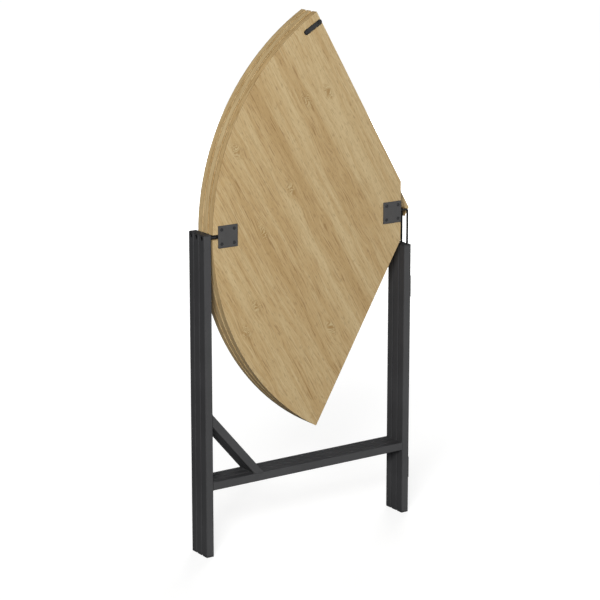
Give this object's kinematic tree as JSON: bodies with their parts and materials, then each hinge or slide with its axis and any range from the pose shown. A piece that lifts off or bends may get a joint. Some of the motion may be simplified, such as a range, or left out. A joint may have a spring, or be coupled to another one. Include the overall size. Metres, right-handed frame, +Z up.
{
  "type": "folding gateleg table",
  "caption": "Folding gateleg table: sector leaves of a round top, each tilting in its own steel gate; the gates swing out on hinges to a star and turn latches join the leaves.",
  "frame": {"origin": "centre of the folded table's bounding box, at the floor", "axes": "+X across the gates from the outer legs to the centre of the open table, +Y from the front gate to the rear gate, +Z up"},
  "size_m": [0.57, 0.0654, 1.2055],
  "materials": {
    "coated_steel": "matt black-grey powder coat",
    "oak_board": "matt pale oak facing on board",
    "black_plastic": "matt moulded",
    "zinc_steel": "bright zinc plate"
  },
  "bodies": {
    "gate_middle": {"middle_outer_leg": "coated_steel", "middle_outer_foot": "black_plastic", "middle_outer_cap": "black_plastic", "middle_inner_leg": "coated_steel", "middle_inner_foot": "black_plastic", "middle_inner_cap": "black_plastic", "middle_stretcher": "coated_steel", "middle_brace": "coated_steel", "middle_pivot_rod": "coated_steel", "front_lower_hinge_fixed": "coated_steel", "front_lower_hinge_pin": "zinc_steel", "front_upper_hinge_fixed": "coated_steel", "front_upper_hinge_pin": "zinc_steel", "rear_lower_hinge_fixed": "coated_steel", "rear_lower_hinge_pin": "zinc_steel", "rear_upper_hinge_fixed": "coated_steel", "rear_upper_hinge_pin": "zinc_steel"},
    "gate_front": {"front_outer_leg": "coated_steel", "front_outer_foot": "black_plastic", "front_outer_cap": "black_plastic", "front_inner_leg": "coated_steel", "front_inner_foot": "black_plastic", "front_inner_cap": "black_plastic", "front_stretcher": "coated_steel", "front_brace": "coated_steel", "front_pivot_rod": "coated_steel", "front_lower_hinge_moving": "coated_steel", "front_upper_hinge_moving": "coated_steel"},
    "gate_rear": {"rear_outer_leg": "coated_steel", "rear_outer_foot": "black_plastic", "rear_outer_cap": "black_plastic", "rear_inner_leg": "coated_steel", "rear_inner_foot": "black_plastic", "rear_inner_cap": "black_plastic", "rear_stretcher": "coated_steel", "rear_brace": "coated_steel", "rear_pivot_rod": "coated_steel", "rear_lower_hinge_moving": "coated_steel", "rear_upper_hinge_moving": "coated_steel"},
    "pivot_middle": {"middle_pivot_pin": "coated_steel"},
    "pivot_front": {"front_pivot_pin": "coated_steel"},
    "pivot_rear": {"rear_pivot_pin": "coated_steel"},
    "leaf_middle": {"middle_leaf": "oak_board", "middle_outer_plate": "coated_steel", "middle_inner_plate": "coated_steel", "middle_latch_screw": "zinc_steel"},
    "leaf_front": {"front_leaf": "oak_board", "front_outer_plate": "coated_steel", "front_inner_plate": "coated_steel", "front_latch_screw": "zinc_steel"},
    "leaf_rear": {"rear_leaf": "oak_board", "rear_outer_plate": "coated_steel", "rear_inner_plate": "coated_steel", "rear_latch_screw": "zinc_steel"},
    "turn_latch_middle": {"middle_latch": "coated_steel"},
    "turn_latch_front": {"front_latch": "coated_steel"},
    "turn_latch_rear": {"rear_latch": "coated_steel"}
  },
  "joints": [
    {"name": "front_gate_swing", "type": "hinge", "parent": "gate_middle", "child": "gate_front", "pos_m": [0.27919, -0.0098, 0.33], "axis": [0, 0, 1], "range_deg": [0, 120]},
    {"name": "rear_gate_swing", "type": "hinge", "parent": "gate_middle", "child": "gate_rear", "pos_m": [0.27919, 0.0122, 0.35], "axis": [0, 0, -1], "range_deg": [0, 120]},
    {"name": "front_leaf_lean", "type": "hinge", "parent": "gate_front", "child": "pivot_front", "pos_m": [-0.25496, -0.0208, 0.732], "axis": [1, 0, 0], "range_deg": [0, 72]},
    {"name": "middle_leaf_lean", "type": "hinge", "parent": "gate_middle", "child": "pivot_middle", "pos_m": [-0.25496, 0.0012, 0.732], "axis": [1, 0, 0], "range_deg": [0, 72]},
    {"name": "rear_leaf_lean", "type": "hinge", "parent": "gate_rear", "child": "pivot_rear", "pos_m": [-0.25496, 0.0232, 0.732], "axis": [1, 0, 0], "range_deg": [0, 72]},
    {"name": "front_leaf_level", "type": "hinge", "parent": "pivot_front", "child": "leaf_front", "pos_m": [0, -0.0208, 0.732], "axis": [1, 0, 0], "range_deg": [0, 18]},
    {"name": "middle_leaf_level", "type": "hinge", "parent": "pivot_middle", "child": "leaf_middle", "pos_m": [0, 0.0012, 0.732], "axis": [1, 0, 0], "range_deg": [0, 18]},
    {"name": "rear_leaf_level", "type": "hinge", "parent": "pivot_rear", "child": "leaf_rear", "pos_m": [0, 0.0232, 0.732], "axis": [1, 0, 0], "range_deg": [0, 18]},
    {"name": "front_latch_turn", "type": "hinge", "parent": "leaf_front", "child": "turn_latch_front", "pos_m": [0.01618, -0.03035, 1.18155], "axis": [0, 1, 0], "range_deg": [0, 180]},
    {"name": "middle_latch_turn", "type": "hinge", "parent": "leaf_middle", "child": "turn_latch_middle", "pos_m": [0.01618, -0.00835, 1.18155], "axis": [0, 1, 0], "range_deg": [0, 180]},
    {"name": "rear_latch_turn", "type": "hinge", "parent": "leaf_rear", "child": "turn_latch_rear", "pos_m": [0.01618, 0.01365, 1.18155], "axis": [0, 1, 0], "range_deg": [0, 180]}
  ],
  "couplings": [
    {"joint": "rear_gate_swing", "follows": "front_gate_swing", "ratio": 1},
    {"joint": "front_leaf_lean", "follows": "front_gate_swing", "ratio": 0.6},
    {"joint": "middle_leaf_lean", "follows": "front_gate_swing", "ratio": 0.6},
    {"joint": "rear_leaf_lean", "follows": "front_gate_swing", "ratio": 0.6},
    {"joint": "middle_leaf_level", "follows": "front_leaf_level", "ratio": 1},
    {"joint": "rear_leaf_level", "follows": "front_leaf_level", "ratio": 1}
  ]
}
